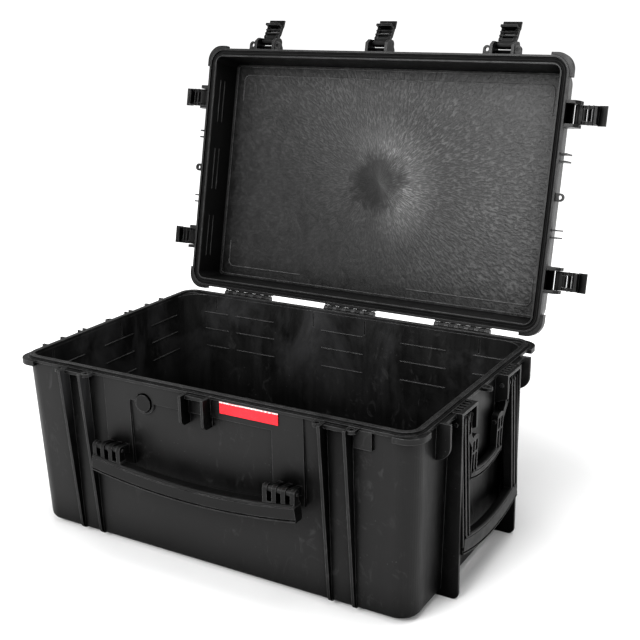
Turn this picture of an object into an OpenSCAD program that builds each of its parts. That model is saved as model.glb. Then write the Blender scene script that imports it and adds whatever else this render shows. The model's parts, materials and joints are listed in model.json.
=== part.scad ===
// Large hard equipment case: drafted base and lid shells with a sealed rim, three hinges, seven
// two-piece latches, a front carry handle, a tow handle with a carry handle nested in it, two wheels.
// X runs along the width, Y from front to back, Z up. The origin is on the floor under the centre.
// The lid is drawn standing open and every latch swung out, as the case is left when it is unpacked.

/* [Case] */
// Width across the rim
rim_w = 816; // [790:2:840]
// Depth across the rim, front to back
rim_d = 524; // [510:2:540]
// Height of the parting face above the floor
part_z = 338; // [330:1:348]
// Inside depth of the lid
lid_depth = 75; // [68:1:84]
// Thickness of the shell walls
wall = 6; // [5:0.5:7]
// How far a wall leans inwards over the height of the base
draft = 9; // [6:1:12]
// Radius of the upright corners at the rim
corner_r = 40; // [36:1:46]
// Extra radius of the two back corners of the base
back_r = 26; // [20:1:30]
// How far open the lid stands, in degrees
lid_open = 102.8; // [0:0.1:102.8]

/* [Rim] */
// Overhang of the rim beyond the outside of the wall
rim_over = 4; // [3:0.5:5]
// Height of the base's rim band
rim_h = 5; // [4:0.5:8]
// Height of the lid's rim band
lid_rim_h = 11; // [10:1:13]
// Reach of the guards, ribs and legs beyond the rim
guard_out = 20; // [18:1:22]
// Thickness of guards, ribs and legs
fin_t = 5; // [4:0.5:6]

/* [Latches] */
// Distance of the outer front latches from the centre
latch_x = 270; // [262:1:278]
// Distance of the side latches from the centre
latch_y = 156; // [154:1:160]
// Width of a latch
latch_w = 36; // [34:0.5:36]
// Swing of the front latches from shut, in degrees
front_swing = 112; // [0:1:112]
// Swing of the side latches from shut, in degrees
side_swing = 90; // [0:1:112]
// Radius of the latch pins
latch_pin_r = 2; // [1.5:0.1:2.2]

/* [Hinges] */
// Width of one hinge
hinge_w = 118; // [100:1:130]
// Distance of the outer hinges from the centre
hinge_x = 253; // [240:1:265]
// Outer radius of a hinge knuckle
knuckle_r = 6.5; // [6:0.1:6.8]
// Radius of a hinge pin
hinge_pin_r = 2.5; // [2:0.1:3]

/* [Front handle] */
// Distance of each knuckle group of the handle from the centre
grip_x = 180; // [176:1:184]
// Height of the handle's pivot above the floor
grip_z = 213; // [204:1:220]
// Reach of the pivot in front of the rim
grip_out = 28; // [26:1:30]

/* [End handles] */
// Height of the pivot of both end handles above the floor
tow_z = 316; // [312:1:318]
// Drop of the tow handle from its pivot to the lower edge of its grip
tow_drop = 250; // [236:1:252]
// Drop of the small handle from its pivot to the lower edge of its grip
carry_drop = 136; // [126:1:144]
// Radius of the end handle pins
end_pin_r = 4; // [3.5:0.1:4.2]

/* [Wheels] */
// Radius of a wheel's tyre
wheel_r = 40; // [38:0.5:41]
// Width of a wheel's tyre
wheel_w = 34; // [30:1:38]

/* [Hidden] */
$fn = 48;
// Gap between pieces that face each other
gap = 0.5;
// Radial clearance of a pin in its bore
fit = 0.05;
// Overlap that makes two shapes of one piece fuse
weld = 1;
// Height of the underside of the body above the floor
foot_h = 6;
// The raised sealing lip of the base: insets of its two sides from the rim, height, corner radius
lip_out = 5;
lip_in = 13.5;
lip_h = 4.5;
lip_r = 30;
// Inset of the lid's opening from the rim, and the radius of its corners
mouth_in = 17;
mouth_r = 15;
wall_w = rim_w - 2 * rim_over;
wall_d = rim_d - 2 * rim_over;
wall_r = corner_r - rim_over;
lid_z = part_z + gap;
lid_top = lid_z + lid_depth;
hinge_y = rim_d / 2 + 9;
hinge_z = part_z + 2;
pin_z = part_z + 25;
pin_out = 18;
bar_drop = 13;
ear_t = 6;
ear_x = latch_w / 2 + 1;
axle_x = -(wall_w / 2 + 2);
axle_z = wheel_r + 2;
axle_r = 4;
grip_y = -(rim_d / 2 + grip_out);
end_x = rim_w / 2 + 8;
leg_y = 130.5;
inner_leg_y = 71;
pad_y = -(rim_d / 2 - 2);
valve_at = [-118, 299];

// ---------- small helpers ----------

// A rectangle with rounded corners, centred on the origin
module round_rect(w, d, r) {
    square([w - 2 * r, d], center = true);
    square([w, d - 2 * r], center = true);
    for (x = [-1, 1], y = [-1, 1])
        translate([x * (w / 2 - r), y * (d / 2 - r)]) circle(r, $fn = 64);
}

// A flat ring with corner radius r between two rounded rectangles; inset counts inwards from the rim
module band(inset, width, z, h, r) {
    translate([0, 0, z]) linear_extrude(h) difference() {
        round_rect(rim_w - 2 * inset, rim_d - 2 * inset, r);
        round_rect(rim_w - 2 * (inset + width), rim_d - 2 * (inset + width), r - width);
    }
}

// One thin layer of a shell: a rounded rectangle at height z, whose back corners may be rounder
module layer(w, d, r, z, more = 0) {
    for (x = [-1, 1], y = [-1, 1]) {
        rc = y > 0 ? r + more : r;
        translate([x * (w / 2 - rc), y * (d / 2 - rc), z]) cylinder(r = rc, h = 0.1, $fn = 48);
    }
}

// A closed block with drafted sides and one rounded edge, from a wide face at z0 to a small one at z1
module tub(w0, d0, r0, z0, w1, d1, r1, z1, edge, more = 0) {
    dir = sign(z1 - z0);
    hull() {
        layer(w0, d0, r0, z0, more);
        for (a = [0, 22.5, 45, 67.5, 90]) {
            inset = edge * (1 - cos(a));
            layer(w1 - 2 * inset, d1 - 2 * inset, r1 - inset * 0.8, z1 - dir * edge * (1 - sin(a)), more);
        }
    }
}

// Lean of the base's outside at height z, and its half depth there
function lean(z) = draft * (part_z - z) / (part_z - foot_h);
function half_d(z) = wall_d / 2 - lean(z);

// Distance from the rim's outer face to the inside of the base's wall at height z
mouth_z = part_z + 10;
floor_edge = 9;
function inside(z) = lip_in
    + (rim_over + wall + draft - lip_in) * (mouth_z - z) / (mouth_z - foot_h - wall - floor_edge);

// Puts its children where they stand when the lid is open
module on_lid() {
    translate([0, hinge_y, hinge_z]) rotate([-lid_open, 0, 0]) translate([0, -hinge_y, -hinge_z])
        children();
}

// A flat fin with its lower outer corner rounded, in the XY plane: x outwards, y up
module fin_outline(reach, low, high, r) {
    translate([0, low + r]) square([reach, high - low - r]);
    translate([0, low]) square([reach - r, high - low]);
    translate([reach - r, low + r]) circle(r);
}

// A fin standing on the front wall at x, its outer edge at y_out
module front_fin(x, y_out, low, high, r = 12, root = 226) {
    translate([x + fin_t / 2, 0, 0]) rotate([90, 0, -90]) translate([root, 0, 0])
        linear_extrude(fin_t) fin_outline(-y_out - root, low, high, r);
}

// A fin standing on the right-hand wall at y
module side_fin(y, x_out, low, high, r = 12, root = 366) {
    translate([root, y + fin_t / 2, 0]) rotate([90, 0, 0]) linear_extrude(fin_t)
        fin_outline(x_out - root, low, high, r);
}

// A padlock eyelet: a level tab pointing along -Y with an upright hole
module eyelet(z, t) {
    translate([0, 0, z]) difference() {
        linear_extrude(t) {
            translate([-8, -9]) square([16, 22]);
            translate([0, -9]) circle(8);
        }
        translate([0, -9, -weld]) cylinder(r = 4, h = t + 2 * weld);
    }
}

// Repeats its children at every padlock eyelet
module at_eyelets() {
    for (x = [-latch_x - 31, -latch_x + 31, latch_x - 31, latch_x + 31])
        translate([x, -rim_d / 2, 0]) children();
    for (s = [-1, 1])
        translate([s * rim_w / 2, 0, 0]) rotate(s * 90) children();
}

// The thicker corners of the rim, standing a little proud of its straight sides
module corner_bumpers(z, h) {
    proud = 6;
    reach = 39;
    translate([0, 0, z]) linear_extrude(h) intersection() {
        round_rect(rim_w + 2 * proud, rim_d + 2 * proud, corner_r - 8);
        for (x = [-1, 1], y = [-1, 1])
            translate([x * rim_w / 2, y * rim_d / 2]) square(2 * reach, center = true);
    }
}

// ---------- hinge knuckles ----------

knuckles = 11;
knuckle_pitch = hinge_w / knuckles;
hinge_places = [-hinge_x, 0, hinge_x];

// The pads behind the knuckles on the lid, which close the gap beside them
module hinge_pads() {
    for (c = hinge_places)
        translate([c - hinge_w / 2 + gap, rim_d / 2 - weld, lid_z])
            cube([hinge_w - 2 * gap, hinge_y - knuckle_r - 0.4 - rim_d / 2 + weld, lid_rim_h]);
}

// The knuckles of one leaf of every hinge; first is 0 or 1, side is -1 below the pin and 1 above it
module hinge_leaf(first, side) {
    for (c = hinge_places, i = [first : 2 : knuckles - 1]) {
        translate([c - hinge_w / 2 + i * knuckle_pitch + gap, 0, 0]) {
            translate([0, hinge_y, hinge_z]) rotate([0, 90, 0])
                cylinder(r = knuckle_r, h = knuckle_pitch - 2 * gap);
            translate([0, hinge_y - 14, hinge_z + (side > 0 ? 2.4 : -knuckle_r - 0.6)])
                cube([knuckle_pitch - 2 * gap, 14, knuckle_r - 1.8]);
        }
    }
}

// The bores of one leaf's knuckles
module hinge_bores() {
    for (c = hinge_places)
        translate([c - hinge_w / 2 - weld, hinge_y, hinge_z]) rotate([0, 90, 0])
            cylinder(r = hinge_pin_r + fit, h = hinge_w + 2 * weld);
}

module hinge_pins() {
    color("dimgray")
        for (c = hinge_places)
            translate([c - hinge_w / 2 + gap, hinge_y, hinge_z]) rotate([0, 90, 0])
                cylinder(r = hinge_pin_r, h = hinge_w - 2 * gap);
}

// ---------- base shell ----------

module base_outside() {
    tub(wall_w, wall_d, wall_r, part_z - 2, wall_w - 2 * draft, wall_d - 2 * draft, wall_r, foot_h, 12,
        back_r);
}

module base_cavity() {
    low = rim_over + wall + draft;
    tub(rim_w - 2 * lip_in, rim_d - 2 * lip_in, lip_r + lip_out - lip_in, mouth_z,
        rim_w - 2 * low, rim_d - 2 * low, wall_r - wall, foot_h + wall, floor_edge, back_r);
}

// The raised panel on the front wall that carries the handle, with its finger recess
module front_panel() {
    half = 207;
    rotate([90, 0, 0]) translate([0, 0, 232]) linear_extrude(-pad_y - 232) difference() {
        translate([-half, 176]) square([2 * half, part_z - rim_h - 175]);
        translate([-150, 124]) square([296, 176]);
    }
    // Boss around the valve, which laps over the recess's corner
    translate([valve_at[0], 0, valve_at[1]]) rotate([90, 0, 0]) translate([0, 0, 232])
        cylinder(r = 21, h = -pad_y - 232);
}

// Lugs of the front handle's pivots, standing between the handle's fingers
finger_w = 8;
finger_pitch = 17.6;
finger_r = 8;
lug_w = finger_pitch - finger_w - 2 * gap;

module handle_lugs() {
    for (s = [-1, 1], i = [-1, 0, 1])
        translate([s * grip_x + i * finger_pitch - lug_w / 2, 0, grip_z]) {
            translate([0, grip_y, 0]) rotate([0, 90, 0]) cylinder(r = finger_r - 2, h = lug_w);
            rotate([90, 0, 90]) linear_extrude(lug_w)
                polygon([[grip_y, -finger_r + 2], [pad_y + 4, -finger_r - 10], [pad_y + 4, -1],
                    [grip_y + 3, finger_r - 3.2], [grip_y, finger_r - 2]]);
        }
}

// The guards on either side of each latch, and the ledge its lever hooks under
ledge_drop = 10;
module front_guards() {
    out = -(rim_d / 2 + guard_out);
    side = latch_w / 2 + fin_t;
    for (x = [-latch_x, latch_x], s = [-1, 1])
        front_rib(x + s * side);
    for (s = [-1, 1])
        front_fin(s * side, out, part_z - 57, part_z - 2);
    for (x = [-latch_x, 0, latch_x])
        translate([x - side, -rim_d / 2 - 8, part_z - ledge_drop]) cube([2 * side, 30, ledge_drop - 4]);
}

// A tall rib from the rim to the floor; its outer edge leans in with the wall
module front_rib(x) {
    high = part_z - 2;
    low = foot_h + 1;
    r = 14;
    top = -(rim_d / 2 + guard_out);
    foot = -rim_d / 2 + 6;
    translate([x - fin_t / 2, 0, 0]) rotate([90, 0, 90]) linear_extrude(fin_t) {
        polygon([[top, high], [foot, low + r], [foot + r, low + r], [-226, low + r], [-226, high]]);
        translate([foot + r, low]) square([-226 - foot - r, r + weld]);
        translate([foot + r, low + r]) circle(r);
    }
}

module side_guards() {
    out = rim_w / 2 + guard_out;
    for (s = [-1, 1]) {
        side_fin(s * (latch_y + latch_w / 2 + fin_t + 0.5), out, part_z - 66, part_z - 2, 26);
        translate([rim_w / 2 - 22, s * latch_y - 24, part_z - ledge_drop])
            cube([30, 48, ledge_drop - 4]);
    }
}

// The combed top of one handle bracket, which covers the pin
module bracket_comb() {
    slots = 5;
    low = inner_leg_y - fin_t / 2;
    span = leg_y + fin_t / 2 - low;
    translate([384, low, part_z - 7]) difference() {
        cube([rim_w / 2 + guard_out - 385, span, 5.5]);
        for (i = [0 : slots - 1]) translate([17, 9 + i * (span - 10) / slots, -weld]) {
            cylinder(r = 3.2, h = 8);
            translate([0, -3.2, 0]) cube([16, 6.4, 8]);
            translate([16, 0, 0]) cylinder(r = 3.2, h = 8);
        }
    }
}

// Legs and brackets at the tow handle's end
module right_end() {
    out = rim_w / 2 + guard_out - 1;
    for (s = [-1, 1]) {
        side_fin(s * leg_y, out, 0, part_z - 1.5);
        translate([0, s * inner_leg_y + fin_t / 2, 0]) rotate([90, 0, 0]) linear_extrude(fin_t)
            polygon([[384, part_z - 1.5], [out, part_z - 1.5], [out, tow_z - 24], [404, tow_z - 34],
                [402, 194], [384, 174]]);
        mirror([0, s < 0 ? 1 : 0, 0]) bracket_comb();
        // Bump stop behind the small handle
        translate([370, s * 69, 245]) rotate([0, 90, 0]) cylinder(r = 7, h = 31);
    }
    // Flat panel between the brackets, with upright rounded edges
    translate([386, 0, 22]) linear_extrude(part_z - 32) union() {
        translate([-20, -56]) square([16.5, 112]);
        translate([-20, -44]) square([32 - 3.5, 88]);
        for (s = [-1, 1]) translate([-3.5, s * 44]) circle(12);
    }
}

// Middles of the short fins across the end rims
fin_places = [-81.5, -67.5, 62, 76];

// Legs at the wheel end, which hold the axles
module left_end() {
    out = rim_w / 2 + guard_out;
    mirror([1, 0, 0]) {
        for (s = [-1, 1]) {
            side_fin(s * leg_y, out, foot_h + 10, part_z - 2);
            side_fin(s * inner_leg_y, out, foot_h + 10, part_z - 20);
        }
        // Short fins below the rim, in line with those of the lid
        for (y = fin_places)
            translate([rim_w / 2 - 8, y - 1.5, part_z - 40]) cube([guard_out + 8, 3, 38]);
    }
}

// Round housings that close the wheel wells off from the inside of the case
module wheel_wells(r, grow) {
    for (s = [-1, 1])
        translate([axle_x, s * (inner_leg_y + leg_y) / 2, axle_z]) rotate([90, 0, 0])
            cylinder(r = r, h = leg_y - inner_leg_y - fin_t + grow, center = true);
}

// Short ridges inside the base where dividers are held
module inside_ridges() {
    levels = [part_z - 42, part_z - 80, part_z - 120];
    for (z = levels, c = [[-331, 78], [-222, 98], [-6, 98], [180, 100], [326, 76]], s = [-1, 1])
        translate([c[0] - c[1] / 2, s * (rim_d / 2 - inside(z)) - 1.4, z]) cube([c[1], 2.8, 1.6]);
    for (z = levels, c = [-150, 0, 150], s = [-1, 1])
        translate([s * (rim_w / 2 - inside(z)) - 1.4, c - 45, z]) cube([2.8, 90, 1.6]);
}

// Narrow upright slots in the inside of the wall, below the rim
module inside_slots() {
    low = part_z - 36;
    for (x = [-324, -75, 47, 298])
        translate([x, rim_d / 2 - inside(low) - 1, low]) cube([3, 3, 29]);
    for (y = [-190, 8], s = [-1, 1])
        translate([s * (rim_w / 2 - inside(low) + 0.5) - 1.5, y, low]) cube([3, 3, 29]);
}

// Runners and the middle pad that the case stands on
module runners() {
    for (x = [-latch_x - 23, -latch_x + 23, latch_x - 23, latch_x + 23], s = [-1, 1])
        translate([x - 7, s * (half_d(foot_h) - 46) - 27, 0]) cube([14, 54, foot_h + 4]);
    cylinder(r = 40, h = foot_h + 4);
}

// The raised lip around the opening, with a fine groove along its top
module sealing_lip() {
    difference() {
        band(lip_out, lip_in - lip_out, part_z - weld, weld + lip_h, lip_r);
        band(lip_out + 3.4, 1.5, part_z + lip_h - 1, 2, lip_r - 3.4);
    }
}

module base_shell() {
    color([0.07, 0.07, 0.075]) difference() {
        union() {
            base_outside();
            band(0, lip_in, part_z - rim_h, rim_h, corner_r - 4);
            corner_bumpers(part_z - 11, 9.5);
            sealing_lip();
            front_panel();
            handle_lugs();
            front_guards();
            side_guards();
            mirror([1, 0, 0]) side_guards();
            right_end();
            left_end();
            runners();
            at_eyelets() eyelet(part_z - 7, 6);
            hinge_leaf(0, -1);
            translate([300, -263, part_z - 35]) cube([31.5, 21, 31]);
        }
        difference() {
            base_cavity();
            wheel_wells(wheel_r + 9, 2 * wall);
            inside_ridges();
        }
        wheel_wells(wheel_r + 4, 0);
        inside_slots();
        hinge_bores();
        // Slot beside the small panel at the front right corner
        translate([331.5, -270, part_z - 35]) cube([2.5, 14, 29]);
        // Bores of the front handle's pins
        for (s = [-1, 1]) translate([s * grip_x - 40, grip_y, grip_z]) rotate([0, 90, 0])
            cylinder(r = 3 + fit, h = 80);
        // Bores of the end handles' pins
        for (s = [-1, 1]) translate([end_x, s * (leg_y + inner_leg_y) / 2, tow_z]) rotate([90, 0, 0])
            cylinder(r = end_pin_r + fit, h = 80, center = true);
        // Bores of the axles
        for (s = [-1, 1]) translate([axle_x, s * (leg_y + inner_leg_y) / 2, axle_z]) rotate([90, 0, 0])
            cylinder(r = axle_r + fit, h = 80, center = true);
        // Seat of the pressure valve
        translate([valve_at[0], 0, valve_at[1]]) rotate([90, 0, 0]) {
            translate([0, 0, 200]) cylinder(r = 8 + fit, h = 100);
            translate([0, 0, -pad_y - 5]) cylinder(r = 18, h = 20);
            // Flat seat of the nut on the sloping inside
            translate([0, 0, valve_wall - 5]) cylinder(r = 13.6, h = 5);
        }
    }
}

// ---------- lid shell ----------

// The two ears of every latch bracket, with bores for the pin, and the web that joins them
module latch_ears() {
    at_latches() rotate([90, 0, 90]) translate([0, 0, -ear_x - weld]) linear_extrude(2 * (ear_x + weld))
        polygon([[-38, 9], [-7.5, -2], [-7.5, 2], [-38, 13.5]]);
    at_latches() for (s = [-1, 1])
        translate([s * (ear_x + ear_t / 2) - ear_t / 2, 0, 0]) rotate([90, 0, 90]) linear_extrude(ear_t)
            difference() {
                union() {
                    polygon([[-38, -23], [0, -23], [8, -12], [8, 0], [-9, 13], [-38, 20]]);
                    circle(9);
                }
                circle(latch_pin_r + fit);
            }
}

// Places a latch at each of its seven sites on the closed lid; +Y then points away from the case
module at_latches() {
    for (i = [0 : 6]) at_latch(i) children();
}

// Sites of the latches: x, y and the turn that points them outwards
sites = [
    [-latch_x, -rim_d / 2 - pin_out, 180], [0, -rim_d / 2 - pin_out, 180],
    [latch_x, -rim_d / 2 - pin_out, 180],
    [rim_w / 2 + pin_out, -latch_y, -90], [rim_w / 2 + pin_out, latch_y, -90],
    [-rim_w / 2 - pin_out, -latch_y, 90], [-rim_w / 2 - pin_out, latch_y, 90]
];
module at_latch(i) {
    translate([sites[i][0], sites[i][1], pin_z]) rotate(sites[i][2]) children();
}

module lid_fins() {
    for (s = [-1, 1], y = fin_places)
        translate([s * (rim_w / 2 - 1), y, lid_z + 22]) cube([27, 3, 36], center = true);
}

// Stiffening ribs and panels on top of the lid
module lid_ribs() {
    w = wall_w - 100;
    d = wall_d - 96;
    translate([0, 0, lid_top + wall - weld]) linear_extrude(6) difference() {
        union() {
            difference() {
                round_rect(w, d, 40);
                round_rect(w - 24, d - 24, 30);
            }
            for (x = [-2, -1, 0, 1, 2]) translate([x * w / 6, 0]) square([14, d - 12], center = true);
            for (y = [-1, 1]) translate([0, y * d / 5]) square([w - 12, 10], center = true);
        }
        square([170, 120], center = true);
    }
    translate([0, 0, lid_top + wall - weld]) linear_extrude(4) round_rect(156, 106, 12);
}

module lid_outside() {
    tub(wall_w, wall_d, wall_r, lid_z + 2, wall_w - 16, wall_d - 16, wall_r, lid_top + wall, 14);
}

module lid_cavity() {
    w = rim_w - 2 * mouth_in;
    d = rim_d - 2 * mouth_in;
    tub(w, d, mouth_r, lid_z - 3, w - 13, d - 13, mouth_r - 4, lid_top, 3);
}

// Fine raised lines on the lid's inside face: a full one along its edge, a broken one further in
module lid_outline() {
    w = rim_w - 2 * mouth_in - 15;
    d = rim_d - 2 * mouth_in - 15;
    translate([0, 0, lid_top - 1]) linear_extrude(2) difference() {
        round_rect(w - 3, d - 3, mouth_r - 6);
        round_rect(w - 8, d - 8, mouth_r - 8);
    }
    translate([0, 0, lid_top - 0.8]) linear_extrude(2) difference() {
        round_rect(w - 43, d - 43, 12);
        round_rect(w - 46, d - 46, 10.5);
        square([w, d - 160], center = true);
        translate([-40, d / 2]) square([260, 100], center = true);
    }
}

// Short ridges on the end walls of the lid, level with those inside the base
module lid_ridges() {
    for (depth = [20, 34], y = [-150, 0, 150], s = [-1, 1])
        translate([s * (rim_w / 2 - mouth_in - 0.087 * depth) - 1.4, y - 45, lid_z + depth])
            cube([2.8, 90, 1.6]);
}

module lid_shell() {
    color([0.075, 0.075, 0.08]) on_lid() difference() {
        union() {
            lid_outside();
            band(0, mouth_in, lid_z, lid_rim_h, corner_r - 4);
            corner_bumpers(lid_z + 2, 14);
            lid_ribs();
            lid_fins();
            latch_ears();
            at_eyelets() eyelet(lid_z + 4, 6);
            hinge_leaf(1, 1);
            hinge_pads();
        }
        difference() {
            lid_cavity();
            lid_outline();
            lid_ridges();
        }
        band(lip_out - 1, lip_in - lip_out + 2, lid_z - weld, weld + 8, lip_r);
        hinge_bores();
    }
}

// The gasket in the lid's groove, with two fine channels along its face
module lid_gasket() {
    inset = lip_out - 0.8;
    width = lip_in - lip_out + 1.6;
    color([0.03, 0.03, 0.03]) on_lid() difference() {
        band(inset, width, lid_z + 4.6, 3.3, lip_r - 0.2);
        for (c = [2.6, width - 3.8])
            band(inset + c, 1.2, lid_z + 4, 1.6, lip_r - 0.2 - c);
    }
}

// ---------- latches ----------

function latch_turn(i) = i < 3 ? front_swing : side_swing;

// Puts a latch part at site i with its swing
module hang_latch(i) {
    on_lid() at_latch(i) rotate([latch_turn(i), 0, 0]) children();
}

// A round bar along X
module bar(r, len) {
    rotate([0, 90, 0]) cylinder(r = r, h = len, center = true);
}

arm_barrel_r = 5.5;
lever_barrel_r = 4.5;
fork_w = 6.5;

// The arm: a short link from the bracket pin down to the lever pin
module latch_arm(i) {
    middle = latch_w - 2 * fork_w - 2 * gap;
    color([0.06, 0.06, 0.06]) hang_latch(i) difference() {
        union() {
            bar(arm_barrel_r, latch_w);
            translate([-latch_w / 2, -3.5, -bar_drop + 5]) cube([latch_w, 8, bar_drop - 5.5]);
            translate([-middle / 2, -3.5, -bar_drop]) cube([middle, 8, 10]);
            translate([0, 0, -bar_drop]) bar(lever_barrel_r, middle);
            // Raised bars across the face
            for (z = [-1.5, 2.5]) translate([-latch_w / 2 + 3, 3, z - 1]) cube([latch_w - 6, 3.2, 2]);
        }
        bar(latch_pin_r + fit, latch_w + 2);
        translate([0, 0, -bar_drop]) bar(latch_pin_r + fit, latch_w + 2);
    }
}

// Distances down from the arm's pin: the hook and the end of the finger tip
hook_at = 40;
tip_at = 56;

// The lever: two side walls on the lever pin, a ribbed face with a slot, the hook and the finger tip
module latch_lever(i) {
    half = latch_w / 2;
    color([0.05, 0.05, 0.05]) hang_latch(i) difference() {
        union() {
            for (s = [-1, 1]) {
                translate([s * (half - fork_w / 2), 0, -bar_drop]) bar(lever_barrel_r, fork_w);
                translate([s * (half - fork_w / 2) - fork_w / 2, -3, -hook_at])
                    cube([fork_w, 7.4, hook_at - bar_drop]);
            }
            // Face of the lever
            translate([-half, 2.5, -hook_at]) cube([latch_w, 3.5, hook_at - bar_drop - 6]);
            // Cross ribs on the inner side
            for (z = [-bar_drop - 9, -hook_at + 9.5])
                translate([-half - 0.5, -5, z]) cube([latch_w + 1, 8, 2]);
            // Hook that reaches under the ledge, with a lip along its end
            translate([-half + 1, -14, -hook_at]) cube([latch_w - 2, 17, 4]);
            translate([-half + 1, -14, -hook_at + 2]) cube([latch_w - 2, 3, 2.6]);
            // Finger tip, leaning outwards
            translate([-half - 1, 2.5, -hook_at + 1]) rotate([-8, 0, 0]) translate([0, 0, hook_at - tip_at])
                cube([latch_w + 2, 3.5, tip_at - hook_at]);
            // Grip ridges on the outer face
            for (z = [-bar_drop - 10, -bar_drop - 19.5, -bar_drop - 24])
                translate([-half + 3, 5, z]) cube([latch_w - 6, 2.2, 2.4]);
        }
        translate([-12, 0, -bar_drop - 16]) cube([24, 12, 4]);
        translate([0, 0, -bar_drop]) bar(latch_pin_r + fit, latch_w + 2);
    }
}

module lever_pin(i) {
    color("silver") hang_latch(i) translate([0, 0, -bar_drop]) bar(latch_pin_r, latch_w - 1);
}

module latch_bracket_pins() {
    color("silver") on_lid() at_latches() bar(latch_pin_r, latch_w + 2 * ear_t + 1);
}

// ---------- handles ----------

// A bowed bar: a rounded section swept along a shallow arc that sags in the middle.
// The bar runs along X, its outer face towards -Y, its lower edge at z = 0 at the ends.
module bowed_bar(span, sag, thick, height) {
    radius = (span * span / 4 + sag * sag) / (2 * sag);
    half_turn = asin(span / 2 / radius);
    r = 4;
    groove = 3;
    translate([0, 0, radius - sag]) rotate([90, 0, 0]) rotate(-90 - half_turn)
        rotate_extrude(angle = 2 * half_turn, $fn = 180) translate([radius - height / 2, 0])
            difference() {
                round_rect(height, thick, r);
                // Groove along the outer face, nearer the lower edge
                translate([height / 2 - 5.5, thick / 2]) square([3.4, 2 * groove], center = true);
                translate([-height / 2 + 6, thick / 2]) square([1.6, groove], center = true);
            }
}

// The wide carry handle on the front
module front_handle() {
    span = 430;
    thick = 22;
    color([0.06, 0.06, 0.06]) difference() {
        union() {
            translate([0, grip_y, grip_z - 47]) bowed_bar(span, 18, thick, 33);
            for (s = [-1, 1]) {
                // End blocks that join the fingers to the grip
                translate([s * grip_x - 31, grip_y - 8, grip_z - 38]) cube([62, 16, 18]);
                for (i = [-1.5 : 1 : 1.5])
                    translate([s * grip_x + i * finger_pitch - finger_w / 2, grip_y, grip_z]) {
                        rotate([0, 90, 0]) cylinder(r = finger_r, h = finger_w);
                        translate([0, -finger_r, -34]) cube([finger_w, 2 * finger_r - 2, 34]);
                    }
            }
        }
        // Trim the bar's ends square with the finger groups
        for (s = [-1, 1]) translate([s * (span / 2 + 48), grip_y, grip_z - 40])
            cube([100, 80, 120], center = true);
        for (s = [-1, 1]) translate([s * grip_x - 40, grip_y, grip_z]) rotate([0, 90, 0])
            cylinder(r = 3 + fit, h = 80);
    }
}

module front_handle_pins() {
    len = 3 * finger_pitch + finger_w + 4;
    color("silver") for (s = [-1, 1])
        translate([s * grip_x, grip_y, grip_z]) rotate([0, 90, 0]) cylinder(r = 3, h = len, center = true);
}

// One arm of an end handle, a strap from the pivot down to drop. It runs straight between y0 and y1
// down to kink, then leans over to lie between y2 and y3.
module handle_arm(y0, y1, y2, y3, kink, drop, thick) {
    rotate([90, 0, 0]) translate([0, 0, -y1]) cylinder(r = thick / 2 + 1, h = y1 - y0);
    translate([-thick / 2, 0, 0]) rotate([90, 0, 90]) linear_extrude(thick)
        polygon([[y0, 0], [y1, 0], [y1, -kink], [y3, -drop], [y2, -drop], [y0, -kink]]);
}

// Deep grooves along the outer face of an arm, which leave thin upright flanges between them
module arm_grooves(places, width, face, low, high) {
    for (y = places) {
        translate([face - 8, y - width / 2, -low]) cube([12, width, low - 12]);
        // Shallower past the pivot, to keep the bore closed
        translate([face - 2, y - width / 2, -low]) cube([12, width, low + high]);
    }
}

// The large tow handle that hangs outside the small one
module tow_handle() {
    thick = 15;
    color([0.06, 0.06, 0.06]) translate([end_x, 0, tow_z]) rotate([0, -2, 0]) difference() {
        union() {
            for (s = [0, 1]) mirror([0, s, 0])
                handle_arm(97, 126.5, 97, 126.5, 30, tow_drop - 30, thick);
            translate([0, 0, -tow_drop + 16]) rotate(90) bowed_bar(253, 17, thick + 2, 34);
        }
        for (s = [0, 1]) mirror([0, s, 0])
            arm_grooves([105, 118.5], 8, thick / 2, tow_drop - 42, 12);
        rotate([90, 0, 0]) cylinder(r = end_pin_r + fit, h = 300, center = true);
    }
}

// The small carry handle nested inside the tow handle
module carry_handle() {
    thick = 12;
    block = 52;
    color([0.06, 0.06, 0.06]) translate([end_x, 0, tow_z]) rotate([0, 2, 0]) difference() {
        union() {
            for (s = [0, 1]) mirror([0, s, 0]) {
                handle_arm(77, 93, 57, 71, 36, 62, thick);
                // Flanged block at the lower end of the arm
                translate([-thick / 2, 44, -carry_drop + 20])
                    cube([thick, 27, carry_drop - 20 - block]);
                translate([0, 57.5, -block]) rotate([0, 90, 0]) scale([0.6, 1, 1])
                    cylinder(r = 13.5, h = thick, center = true);
                translate([0, 40, -block - 8]) rotate([-90, 0, 0]) cylinder(r = 4, h = 6);
            }
            translate([0, 0, -carry_drop + 13]) rotate(90) bowed_bar(146, 12, thick + 2, 22);
        }
        for (s = [0, 1]) mirror([0, s, 0]) {
            arm_grooves([85], 8, thick / 2 + 1, 34, 12);
            for (y = [51.5, 63.5], z = [-block - 22, -carry_drop + 24])
                translate([thick / 2 - 6, y - 4, z]) cube([12, 8, z < -block - 30 ? 34 : 20]);
        }
        rotate([90, 0, 0]) cylinder(r = end_pin_r + fit, h = 300, center = true);
    }
}

module end_handle_pins() {
    len = leg_y - inner_leg_y + fin_t + 3;
    color("silver") for (s = [-1, 1])
        translate([end_x, s * (leg_y + inner_leg_y) / 2, tow_z]) rotate([90, 0, 0])
            cylinder(r = end_pin_r, h = len, center = true);
}

// ---------- wheels ----------

module at_wheel(s) {
    translate([axle_x, s * (inner_leg_y + leg_y) / 2, axle_z]) rotate([90, 0, 0]) children();
}

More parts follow.
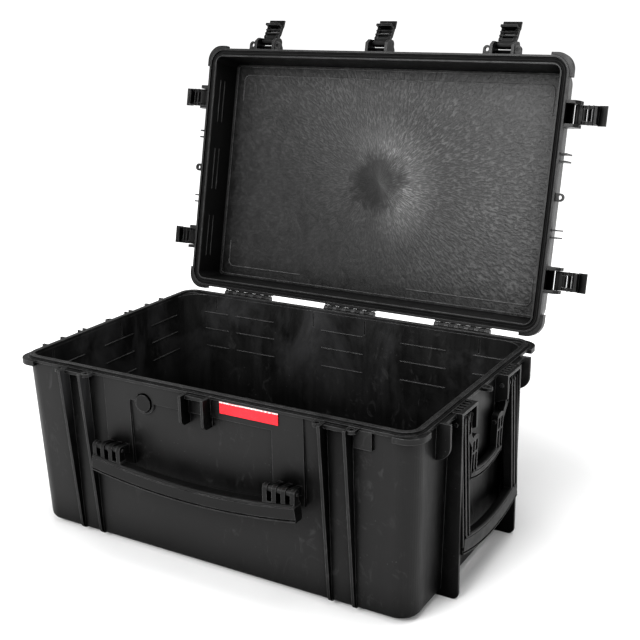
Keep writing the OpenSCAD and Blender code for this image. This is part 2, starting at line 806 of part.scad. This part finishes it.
module wheel_tyre(s) {
    color([0.04, 0.04, 0.04]) at_wheel(s) rotate_extrude($fn = 96) difference() {
        translate([wheel_r - 11, 0]) round_rect(22, wheel_w, 5);
        translate([wheel_r - 28, 0]) square([32, wheel_w + 2], center = true);
        for (y = [-7, 7]) translate([wheel_r, y]) square([3, 2.5], center = true);
    }
}

module wheel_hub(s) {
    spokes = 6;
    color([0.2, 0.2, 0.21]) at_wheel(s) difference() {
        union() {
            cylinder(r = 9, h = leg_y - inner_leg_y - fin_t - gap, center = true);
            difference() {
                cylinder(r = wheel_r - 12 - fit, h = wheel_w - 4, center = true);
                cylinder(r = wheel_r - 17, h = wheel_w, center = true);
            }
            cylinder(r = wheel_r - 16, h = 8, center = true);
            for (i = [0 : spokes - 1]) rotate(i * 360 / spokes)
                translate([6, -2, -wheel_w / 2 + 4]) cube([wheel_r - 22, 4, wheel_w - 8]);
        }
        cylinder(r = axle_r + fit, h = 100, center = true);
    }
}

module wheel_axles() {
    len = leg_y - inner_leg_y + fin_t + 5;
    color("silver") for (s = [-1, 1]) at_wheel(s) cylinder(r = axle_r, h = len, center = true);
}

// ---------- valve and label ----------

// Round cover with the stem that passes through the wall
module valve_cover() {
    color([0.06, 0.06, 0.06]) translate([valve_at[0], 0, valve_at[1]]) rotate([90, 0, 0]) difference() {
        union() {
            translate([0, 0, -pad_y - 5 + 0.1]) cylinder(r = 15.5, h = 8);
            translate([0, 0, 240]) cylinder(r = 8, h = -pad_y - 242);
        }
        translate([0, 0, 239]) cylinder(r = 5, h = -pad_y - 240);
    }
}

module valve_membrane() {
    color("white") translate([valve_at[0], -249, valve_at[1]]) rotate([90, 0, 0]) cylinder(r = 4.95, h = 1);
}

// Distance from the centre to the nut's seat on the inside of the front wall
valve_wall = rim_d / 2 - inside(valve_at[1]);

module valve_nut() {
    color([0.1, 0.1, 0.1])
        translate([valve_at[0], -valve_wall, valve_at[1]]) rotate([-90, 0, 0]) difference() {
            cylinder(r = 13, h = 6, $fn = 6);
            translate([0, 0, -weld]) cylinder(r = 8 + fit, h = 8);
        }
}

module label_plate() {
    color([0.85, 0.05, 0.07]) translate([45, pad_y - 1.7, part_z - 26.5]) cube([115, 1.6, 21]);
}

// ---------- pieces ----------

base_shell();
lid_shell();
lid_gasket();
hinge_pins();
latch_bracket_pins();
latch_arm(0);  // latch_arm_front_left
latch_arm(1);  // latch_arm_front_middle
latch_arm(2);  // latch_arm_front_right
latch_arm(3);  // latch_arm_right_front
latch_arm(4);  // latch_arm_right_back
latch_arm(5);  // latch_arm_left_front
latch_arm(6);  // latch_arm_left_back
latch_lever(0);  // latch_lever_front_left
latch_lever(1);  // latch_lever_front_middle
latch_lever(2);  // latch_lever_front_right
latch_lever(3);  // latch_lever_right_front
latch_lever(4);  // latch_lever_right_back
latch_lever(5);  // latch_lever_left_front
latch_lever(6);  // latch_lever_left_back
lever_pin(0);  // lever_pin_front_left
lever_pin(1);  // lever_pin_front_middle
lever_pin(2);  // lever_pin_front_right
lever_pin(3);  // lever_pin_right_front
lever_pin(4);  // lever_pin_right_back
lever_pin(5);  // lever_pin_left_front
lever_pin(6);  // lever_pin_left_back
front_handle();
front_handle_pins();
tow_handle();
carry_handle();
end_handle_pins();
wheel_axles();
wheel_tyre(-1);  // wheel_tyre_front
wheel_hub(-1);  // wheel_hub_front
wheel_tyre(1);  // wheel_tyre_back
wheel_hub(1);  // wheel_hub_back
valve_cover();
valve_membrane();
valve_nut();
label_plate();
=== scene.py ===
"""Looks of the hard equipment case: materials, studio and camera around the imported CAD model."""
import json
import math

import bpy
from mathutils import Matrix, Vector


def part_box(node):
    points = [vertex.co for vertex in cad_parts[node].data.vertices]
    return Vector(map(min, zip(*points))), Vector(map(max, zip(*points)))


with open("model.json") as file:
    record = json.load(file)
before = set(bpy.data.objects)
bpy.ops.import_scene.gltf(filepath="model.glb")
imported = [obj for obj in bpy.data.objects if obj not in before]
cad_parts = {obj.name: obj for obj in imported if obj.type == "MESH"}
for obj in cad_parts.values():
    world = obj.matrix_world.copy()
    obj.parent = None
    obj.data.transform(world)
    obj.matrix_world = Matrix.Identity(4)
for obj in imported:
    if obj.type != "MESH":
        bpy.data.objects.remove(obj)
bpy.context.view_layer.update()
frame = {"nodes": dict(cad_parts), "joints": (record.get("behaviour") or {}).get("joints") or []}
nodes = frame["nodes"]
joints = {j["name"]: j for j in frame["joints"]}

# ---------- the lid's own directions, from its hinge ----------

LID_OPEN = math.radians(joints["lid_hinge"]["range_deg"][1])
HINGE = Vector(joints["lid_hinge"]["pos_m"])
LID_UP = Vector((0, -math.cos(LID_OPEN), math.sin(LID_OPEN)))      # from the hinges to the latches
LID_IN = Vector((0, -math.sin(LID_OPEN), -math.cos(LID_OPEN)))     # out of the lid's hollow
rim_low, rim_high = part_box("lid_gasket")
LID_CENTRE = (rim_low + rim_high) / 2

# ---------- node helpers ----------


class Graph:
    """Short names for the nodes of one material."""

    def __init__(self, name):
        self.material = bpy.data.materials.new(name)
        self.material.use_nodes = True
        self.tree = self.material.node_tree
        self.tree.nodes.clear()
        self.output = self.add("ShaderNodeOutputMaterial")
        place = self.add("ShaderNodeTexCoord")
        self.where = place.outputs["Object"]
        self.facing = place.outputs["Normal"]

    def add(self, kind, **settings):
        node = self.tree.nodes.new(kind)
        for key, value in settings.items():
            setattr(node, key, value)
        return node

    def put(self, socket, value):
        if isinstance(value, bpy.types.NodeSocket):
            self.tree.links.new(value, socket)
        elif isinstance(value, (int, float)) and socket.type in ("VECTOR", "RGBA"):
            socket.default_value = (value, value, value, 1.0)[:len(socket.default_value)]
        else:
            socket.default_value = value

    def math(self, operation, a, b=0.0, clamp=False):
        node = self.add("ShaderNodeMath", operation=operation, use_clamp=clamp)
        self.put(node.inputs[0], a)
        self.put(node.inputs[1], b)
        return node.outputs[0]

    def vector(self, operation, a, b=(0, 0, 0)):
        node = self.add("ShaderNodeVectorMath", operation=operation)
        self.put(node.inputs[0], a)
        self.put(node.inputs[1], b)
        return node.outputs["Value" if operation in ("DOT_PRODUCT", "LENGTH", "DISTANCE") else "Vector"]

    def scaled(self, factors, source=None):
        return self.vector("MULTIPLY", source or self.where, factors)

    def noise(self, scale, detail=4.0, rough=0.55, source=None, distortion=0.0):
        node = self.add("ShaderNodeTexNoise")
        self.put(node.inputs["Vector"], source or self.where)
        self.put(node.inputs["Scale"], scale)
        self.put(node.inputs["Detail"], detail)
        self.put(node.inputs["Roughness"], rough)
        self.put(node.inputs["Distortion"], distortion)
        return node.outputs["Fac"]

    def cells(self, scale, source=None):
        node = self.add("ShaderNodeTexVoronoi", feature="F1")
        self.put(node.inputs["Vector"], source or self.where)
        self.put(node.inputs["Scale"], scale)
        return node.outputs["Distance"]

    def remap(self, value, a, b, c=0.0, d=1.0):
        node = self.add("ShaderNodeMapRange", clamp=True)
        for socket, v in zip(node.inputs, (value, a, b, c, d)):
            self.put(socket, v)
        return node.outputs["Result"]

    def mix(self, fac, a, b):
        node = self.add("ShaderNodeMix", data_type="RGBA")
        self.put(node.inputs[0], fac)
        self.put(node.inputs[6], a)
        self.put(node.inputs[7], b)
        return node.outputs[2]

    def grey(self, value):
        node = self.add("ShaderNodeCombineColor")
        for socket in node.inputs[:3]:
            self.put(socket, value)
        return node.outputs[0]

    def bump(self, height, strength, distance, normal=None):
        node = self.add("ShaderNodeBump")
        self.put(node.inputs["Height"], height)
        self.put(node.inputs["Strength"], strength)
        self.put(node.inputs["Distance"], distance)
        if normal is not None:
            self.put(node.inputs["Normal"], normal)
        return node.outputs["Normal"]

    def rounded(self, radius):
        """The normal with its edges rounded off, and a mask that is 1 on those edges."""
        bevel = self.add("ShaderNodeBevel", samples=6)
        self.put(bevel.inputs["Radius"], radius)
        flat = self.add("ShaderNodeNewGeometry").outputs["Normal"]
        turn = self.vector("DOT_PRODUCT", bevel.outputs[0], flat)
        return bevel.outputs[0], self.remap(turn, 0.985, 0.80)

    def polar(self, turn_x, turn_y, radius, around, outwards):
        """Noise coordinates that follow circles around a centre and rays out of it."""
        node = self.add("ShaderNodeCombineXYZ")
        self.put(node.inputs[0], self.math("MULTIPLY", turn_x, around))
        self.put(node.inputs[1], self.math("MULTIPLY", turn_y, around))
        self.put(node.inputs[2], self.math("MULTIPLY", radius, outwards))
        return node.outputs[0]

    def open_to_light(self, distance):
        """1 on open faces, falling to 0 deep inside slots and corners, where little light gets in."""
        node = self.add("ShaderNodeAmbientOcclusion", samples=6)
        self.put(node.inputs["Distance"], distance)
        return node.outputs["AO"]

    def shade(self, colour, light):
        """The colour, darkened where little light gets in."""
        return self.mix(light, (0.0, 0.0, 0.0, 1.0), colour)

    def finish(self, colour, rough, normal, metal=0.0, specular=0.5, coat=0.0, sheen=0.0):
        shader = self.add("ShaderNodeBsdfPrincipled")
        self.put(shader.inputs["Base Color"], colour)
        self.put(shader.inputs["Roughness"], rough)
        self.put(shader.inputs["Normal"], normal)
        self.put(shader.inputs["Metallic"], metal)
        self.put(shader.inputs["Specular IOR Level"], specular)
        self.put(shader.inputs["Coat Weight"], coat)
        self.put(shader.inputs["Sheen Weight"], sheen)
        self.tree.links.new(shader.outputs[0], self.output.inputs["Surface"])
        return self.material


# ---------- materials ----------


def painted_edge_highlight(g, colour, edge, level):
    """The colour, with a painted highlight laid on the edges in patches where the noise lets it through."""
    patches = g.remap(g.noise(45.0, 3.0), 0.35, 0.62, 0.35, 1.0)
    return g.mix(g.math("MULTIPLY", edge, patches), colour, g.grey(level))


def specks(g, scale, size):
    """A mask of sparse dust specks."""
    lit = g.remap(g.cells(scale), size, size * 0.4)
    return g.math("MULTIPLY", lit, g.remap(g.noise(scale * 0.13, 2.0), 0.56, 0.66))


def shell_plastic():
    """Black moulded plastic of the base: fine grain, faint flow marks that run up the walls, painted highlights
    on the edges.
    """
    g = Graph("base_shell_plastic")
    rounded, edge = g.rounded(0.0014)
    flow = g.noise(1.0, 6.0, 0.6, g.scaled((70.0, 70.0, 9.0)), 0.6)
    cloud = g.noise(14.0, 5.0, 0.6)
    grain = g.noise(1500.0, 2.0)
    light = g.open_to_light(0.07)
    # Faces of the hollow look towards the middle; they carry paler smoky clouds, which fade out low down so
    # that the bottom of the hollow is left in painted shade
    inner = g.remap(g.vector("DOT_PRODUCT", g.facing, g.scaled((1.0, 1.0, 0.0))), -0.06, -0.14)
    above_low_shade = g.remap(g.vector("DOT_PRODUCT", g.where, (0, 0, 1)), 0.13, 0.31)
    smoke = g.noise(1.0, 7.0, 0.66, g.scaled((7.0, 7.0, 4.0)), 0.7)
    smoke = g.math("MULTIPLY", g.remap(smoke, 0.46, 0.74, 0.0, 0.6), g.math("MULTIPLY", inner, above_low_shade))
    scuff = g.noise(1.0, 6.0, 0.7, g.scaled((34.0, 34.0, 20.0)), 1.5)
    scuffed = g.math("MULTIPLY", g.remap(scuff, 0.56, 0.70), g.remap(g.noise(5.0, 2.0), 0.45, 0.62))
    tone = g.math("ADD", g.remap(flow, 0.3, 0.75, 0.001, 0.003), g.remap(cloud, 0.3, 0.7, 0.0, 0.002))
    tone = g.math("ADD", tone, g.math("MULTIPLY", scuffed, 0.016))
    colour = g.mix(specks(g, 120.0, 0.10), g.grey(tone), (0.10, 0.10, 0.098, 1.0))
    # Pale edges are a painted highlight, and the colour gets painted shade in slots and corners
    colour = g.shade(painted_edge_highlight(g, colour, edge, 0.12), light)
    colour = g.mix(smoke, colour, (0.060, 0.060, 0.062, 1.0))
    rough = g.math("ADD", g.remap(flow, 0.25, 0.75, 0.34, 0.50), g.remap(cloud, 0.3, 0.7, -0.06, 0.06))
    height = g.math("ADD", g.math("MULTIPLY", grain, 0.35), g.math("MULTIPLY", flow, 0.8))
    height = g.math("ADD", height, g.math("MULTIPLY", scuffed, 1.2))
    normal = g.bump(height, 0.35, 0.00035, rounded)
    shine = g.remap(light, 0.35, 0.95, 0.01, 0.19)
    shine = g.math("MULTIPLY", shine, g.math("SUBTRACT", 1.0, g.math("MULTIPLY", inner, 0.6)))
    shine = g.math("ADD", shine, g.math("MULTIPLY", g.math("MULTIPLY", inner, above_low_shade), 0.30))
    return g.finish(colour, rough, normal, specular=shine)


def lid_plastic():
    """The lid's plastic: streaks that fan out from the moulding gate in the middle of its inside face."""
    g = Graph("lid_shell_plastic")
    rounded, edge = g.rounded(0.0014)
    offset = g.vector("SUBTRACT", g.where, tuple(LID_CENTRE))
    across = g.vector("DOT_PRODUCT", offset, (1, 0, 0))
    along = g.vector("DOT_PRODUCT", offset, tuple(LID_UP))
    radius = g.math("SQRT", g.math("ADD", g.math("MULTIPLY", across, across), g.math("MULTIPLY", along, along)))
    ring = g.math("MAXIMUM", radius, 0.0005)
    turn_x = g.math("DIVIDE", across, ring)
    turn_y = g.math("DIVIDE", along, ring)
    # Dashes along the flow: narrow across it, longer along it
    dashes = g.noise(1.0, 3.0, 0.6, g.polar(turn_x, turn_y, radius, 54.0, 100.0))
    strands = g.noise(1.0, 3.0, 0.6, g.polar(turn_x, turn_y, radius, 95.0, 22.0))
    swirl = g.noise(26.0, 6.0, 0.65, None, 1.4)
    grain = g.noise(1400.0, 2.0)
    # Everything below belongs to the flat inside face only
    deep = g.remap(g.vector("DOT_PRODUCT", offset, tuple(LID_IN)), -0.062, -0.070)
    deep = g.math("MULTIPLY", deep, g.remap(g.vector("DOT_PRODUCT", g.facing, tuple(LID_IN)), 0.2, 0.5))
    # The flow marks are strong towards the right and the top, faint on the left; the same ramp paints the face
    # lighter there as a painted sheen
    flow_and_painted_sheen = g.remap(g.math("ADD", across, along), -0.24, 0.24, 0.12, 1.0)
    flow_and_painted_sheen = g.math("MULTIPLY", flow_and_painted_sheen, deep)
    streak = g.math("MULTIPLY", g.remap(dashes, 0.38, 0.64, -1.0, 1.0), flow_and_painted_sheen)
    mottle = g.math("MULTIPLY", g.remap(dashes, 0.49, 0.58), g.remap(swirl, 0.35, 0.65, 0.2, 1.0))
    # A dull patch below and left of the gate, with feathery bright fragments above and right of it
    ragged = g.math("ADD", radius, g.remap(swirl, 0.3, 0.7, -0.013, 0.013))
    ragged = g.math("ADD", ragged, g.remap(strands, 0.3, 0.7, -0.012, 0.012))
    lean = g.math("ADD", turn_x, g.math("MULTIPLY", turn_y, 0.45))
    disc = g.math("MULTIPLY", g.remap(ragged, 0.072, 0.048), g.remap(lean, 0.5, -0.5, 0.25, 1.0))
    disc = g.math("MULTIPLY", disc, deep)
    halo = g.math("MULTIPLY", g.remap(ragged, 0.030, 0.075), g.remap(ragged, 0.150, 0.080))
    halo = g.math("MULTIPLY", halo, g.remap(lean, -0.5, 0.6, 0.05, 1.0))
    halo = g.math("MULTIPLY", halo, g.remap(strands, 0.36, 0.62, 0.25, 1.0))
    flame = g.math("MULTIPLY", g.remap(ragged, 0.040, 0.004), g.remap(strands, 0.44, 0.60))
    light = g.open_to_light(0.07)
    # Painted sheen: the base tone rises towards the right and the top of the inside face
    tone = g.math("ADD", 0.003, g.math("MULTIPLY", g.math("MULTIPLY", flow_and_painted_sheen, flow_and_painted_sheen), 0.024))
    tone = g.math("ADD", tone, g.math("MULTIPLY", g.math("MULTIPLY", mottle, flow_and_painted_sheen), 0.090))
    tone = g.math("ADD", tone, g.remap(swirl, 0.3, 0.7, -0.002, 0.006))
    tone = g.math("ADD", tone, g.math("MULTIPLY", halo, g.math("ADD", 0.08, g.math("MULTIPLY", mottle, 0.16))))
    tone = g.math("ADD", tone, g.math("MULTIPLY", flame, 0.100))
    tone = g.math("MAXIMUM", g.math("MULTIPLY", tone, g.remap(disc, 0.0, 1.0, 1.0, 0.4)), 0.001)
    # Off the inside face the tone stays plain; the inside face gets crisp, brighter painted highlights on its
    # edges
    tone = g.mix(deep, g.grey(0.003), g.grey(tone))
    level = g.math("ADD", 0.12, g.math("MULTIPLY", deep, 0.16))
    colour = g.shade(painted_edge_highlight(g, tone, edge, level), light)
    rough = g.math("ADD", 0.38, g.math("MULTIPLY", streak, 0.10))
    rough = g.math("ADD", rough, g.remap(swirl, 0.3, 0.7, -0.07, 0.07))
    rough = g.math("ADD", rough, g.math("MULTIPLY", disc, 0.10))
    height = g.math("ADD", g.math("MULTIPLY", dashes, g.math("MULTIPLY", flow_and_painted_sheen, 1.9)),
                    g.math("MULTIPLY", strands, g.math("MULTIPLY", flow_and_painted_sheen, 0.2)))
    height = g.math("ADD", height, g.math("MULTIPLY", swirl, 0.8))
    height = g.math("ADD", height, g.math("MULTIPLY", grain, 0.12))
    normal = g.bump(height, 0.8, 0.0012, rounded)
    shine = g.math("SUBTRACT", g.remap(light, 0.25, 0.95, 0.02, 0.25), g.math("MULTIPLY", disc, 0.08))
    return g.finish(colour, rough, normal, specular=g.math("MAXIMUM", shine, 0.02))


def nylon(name, tone, rough_low, rough_high, edge_highlight_level):
    """Glass-filled nylon of latches, handles and hubs: fine sparkle of fibres and painted highlights on the
    edges.
    """
    g = Graph(name)
    rounded, edge = g.rounded(0.0009)
    cloud = g.noise(60.0, 4.0, 0.6)
    fibres = g.noise(1.0, 3.0, 0.6, g.scaled((2200.0, 900.0, 2200.0)))
    shade = g.remap(cloud, 0.3, 0.7, tone * 0.75, tone * 1.3)
    colour = g.mix(g.remap(fibres, 0.66, 0.74, 0.0, 0.5), g.grey(shade), g.grey(tone * 4))
    light = g.open_to_light(0.03)
    # Edges get a painted highlight, and slots get painted shade
    colour = g.shade(painted_edge_highlight(g, colour, edge, edge_highlight_level), light)
    rough = g.remap(cloud, 0.3, 0.7, rough_low, rough_high)
    normal = g.bump(g.math("ADD", fibres, g.math("MULTIPLY", cloud, 0.6)), 0.3, 0.0002, rounded)
    return g.finish(colour, rough, normal, specular=g.remap(light, 0.4, 0.95, 0.01, 0.14))


def rubber(name, tone):
    """Matte rubber with a slightly open skin."""
    g = Graph(name)
    rounded, edge = g.rounded(0.0008)
    pores = g.cells(1600.0)
    cloud = g.noise(80.0, 4.0)
    light = g.open_to_light(0.03)
    # Edges get a painted highlight, three times the rubber's tone
    colour = painted_edge_highlight(g, g.grey(g.remap(cloud, 0.3, 0.7, tone * 0.7, tone * 1.4)), edge, tone * 3)
    normal = g.bump(g.math("ADD", pores, cloud), 0.4, 0.0002, rounded)
    return g.finish(g.shade(colour, light), g.remap(cloud, 0.3, 0.7, 0.68, 0.82), normal,
                    specular=g.remap(light, 0.3, 0.95, 0.02, 0.30), sheen=0.03)


def steel():
    """Blackened steel pins: long fine scratches and a little dullness."""
    g = Graph("pin_steel_blackened")
    rounded, edge = g.rounded(0.0005)
    lines = g.noise(1.0, 3.0, 0.5, g.scaled((60.0, 2400.0, 2400.0)))
    stain = g.noise(160.0, 4.0)
    colour = g.mix(g.remap(stain, 0.35, 0.7), (0.060, 0.060, 0.062, 1.0), (0.030, 0.029, 0.028, 1.0))
    # Edges get a painted highlight of pale grey
    colour = g.mix(edge, colour, (0.20, 0.20, 0.20, 1.0))
    rough = g.math("ADD", 0.24, g.math("MULTIPLY", lines, 0.2))
    return g.finish(colour, rough, g.bump(lines, 0.25, 0.0001, rounded), metal=1.0)


def fabric():
    """White porous membrane with a fine weave."""
    g = Graph("valve_membrane_weave")
    wave = g.math("MULTIPLY", g.math("SINE", g.vector("DOT_PRODUCT", g.where, (9000.0, 0, 0))),
                  g.math("SINE", g.vector("DOT_PRODUCT", g.where, (0, 0, 9000.0))))
    soil = g.noise(400.0, 3.0)
    colour = g.mix(g.remap(soil, 0.4, 0.7), (0.75, 0.75, 0.74, 1.0), (0.6, 0.6, 0.58, 1.0))
    return g.finish(colour, g.remap(soil, 0.3, 0.7, 0.75, 0.9), g.bump(wave, 0.4, 0.0001), specular=0.3)


def label():
    """Red glossy label with a pale border along its top."""
    g = Graph("label_red_print")
    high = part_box("label_plate")[1]
    height = g.vector("DOT_PRODUCT", g.where, (0, 0, 1))
    border = g.remap(height, high.z - 0.0026, high.z - 0.0022)
    border = g.math("MULTIPLY", border, g.remap(g.noise(260.0, 3.0), 0.38, 0.56, 0.25, 1.0))
    fade = g.noise(30.0, 4.0)
    scratch = g.noise(1.0, 3.0, 0.6, g.scaled((300.0, 300.0, 1400.0)))
    red = g.mix(g.remap(fade, 0.35, 0.7), (0.80, 0.012, 0.024, 1.0), (0.72, 0.010, 0.018, 1.0))
    red = g.mix(g.remap(scratch, 0.62, 0.72, 0.0, 0.35), red, (0.85, 0.20, 0.20, 1.0))
    colour = g.mix(border, red, (0.80, 0.79, 0.78, 1.0))
    normal = g.bump(g.noise(500.0, 3.0), 0.12, 0.0002)
    return g.finish(colour, g.remap(fade, 0.3, 0.7, 0.34, 0.48), normal, specular=0.22)


def dress(pattern, material):
    """Gives every CAD node whose name starts with the pattern this material."""
    for name, node in nodes.items():
        if name.startswith(pattern):
            node.data.materials.clear()
            node.data.materials.append(material)


dress("base_shell", shell_plastic())
dress("lid_shell", lid_plastic())
dress("lid_gasket", rubber("gasket_foam_rubber", 0.002))
dress("latch_arm", nylon("latch_arm_nylon", 0.002, 0.34, 0.48, 0.18))
dress("latch_lever", nylon("latch_lever_nylon", 0.002, 0.30, 0.44, 0.20))
handle_nylon = nylon("handle_nylon", 0.002, 0.34, 0.50, 0.18)
for part in ("front_handle", "tow_handle", "carry_handle", "valve_cover"):
    dress(part, handle_nylon)
pin_steel = steel()
for part in ("hinge_pins", "latch_bracket_pins", "lever_pin", "front_handle_pins", "end_handle_pins",
             "wheel_axles"):
    dress(part, pin_steel)
dress("wheel_tyre", rubber("tyre_rubber_black", 0.008))
hub_nylon = nylon("hub_nylon", 0.02, 0.38, 0.5, 0.10)
dress("wheel_hub", hub_nylon)
dress("valve_nut", hub_nylon)
dress("valve_membrane", fabric())
dress("label_plate", label())

# ---------- studio ----------


def floor():
    """A large pale floor that washes out to white some way from the case, as a lit backdrop does."""
    bpy.ops.mesh.primitive_plane_add(size=60.0, location=(0, 0, 0))
    plane = bpy.context.object
    plane.name = "studio_floor"
    g = Graph("studio_floor_paper")
    tint = g.remap(g.noise(0.8, 3.0), 0.3, 0.7, 0.90, 0.93)
    paper = g.finish(g.grey(tint), 0.9, g.bump(g.noise(60.0, 2.0), 0.05, 0.001), specular=0.1)
    shader = g.output.inputs["Surface"].links[0].from_node
    away = g.vector("LENGTH", g.scaled((1.0, 1.3, 1.0)))
    g.put(shader.inputs["Emission Color"], (1.0, 1.0, 1.0, 1.0))
    g.put(shader.inputs["Emission Strength"], g.remap(away, 0.75, 1.9, 0.0, 0.6))
    plane.data.materials.append(paper)


def sky():
    """White backdrop for the camera, softer fill for everything else."""
    world = bpy.data.worlds.new("studio_sky")
    bpy.context.scene.world = world
    world.use_nodes = True
    tree = world.node_tree
    tree.nodes.clear()
    output = tree.nodes.new("ShaderNodeOutputWorld")
    mix = tree.nodes.new("ShaderNodeMixShader")
    path = tree.nodes.new("ShaderNodeLightPath")
    for slot, strength in ((1, 0.55), (2, 1.3)):
        background = tree.nodes.new("ShaderNodeBackground")
        background.inputs["Color"].default_value = (1.0, 1.0, 1.0, 1.0)
        background.inputs["Strength"].default_value = strength
        tree.links.new(background.outputs[0], mix.inputs[slot])
    tree.links.new(path.outputs["Is Camera Ray"], mix.inputs[0])
    tree.links.new(mix.outputs[0], output.inputs[0])


def softbox(name, place, target, width, height, power):
    """A rectangular area light that looks at the target."""
    data = bpy.data.lights.new(name, "AREA")
    data.shape = "RECTANGLE"
    data.size = width
    data.size_y = height
    data.energy = power
    light = bpy.data.objects.new(name, data)
    bpy.context.scene.collection.objects.link(light)
    light.location = place
    light.rotation_euler = (Vector(target) - Vector(place)).to_track_quat("-Z", "Y").to_euler()


def camera():
    """The photographed viewpoint: front right, a little above the open lid's middle."""
    yaw, pitch, roll = math.radians(-30.467), math.radians(17.242), math.radians(-0.90)
    forward = Vector((math.sin(yaw) * math.cos(pitch), math.cos(yaw) * math.cos(pitch), -math.sin(pitch)))
    right = Vector((math.cos(yaw), -math.sin(yaw), 0))
    up = right.cross(forward)
    side = math.cos(roll) * right + math.sin(roll) * up
    top = -math.sin(roll) * right + math.cos(roll) * up
    data = bpy.data.cameras.new("camera")
    data.lens = 61.35
    data.sensor_width = 36.0
    view = bpy.data.objects.new("camera", data)
    bpy.context.scene.collection.objects.link(view)
    turn = Matrix((side, top, -forward)).transposed().to_4x4()
    view.matrix_world = Matrix.Translation((1.0500, -1.6348, 0.9970)) @ turn
    bpy.context.scene.camera = view


floor()
sky()
softbox("key_softbox", (-0.75, -3.2, 2.35), (0, 0.3, 0.6), 2.2, 1.8, 150.0)
softbox("top_softbox", (0.2, 0.3, 3.2), (0, 0, 0.2), 2.6, 2.0, 90.0)
softbox("right_strip", (2.6, -0.9, 1.2), (0.3, 0, 0.3), 0.6, 1.8, 9.0)
camera()
bpy.context.scene.view_settings.view_transform = "Standard"
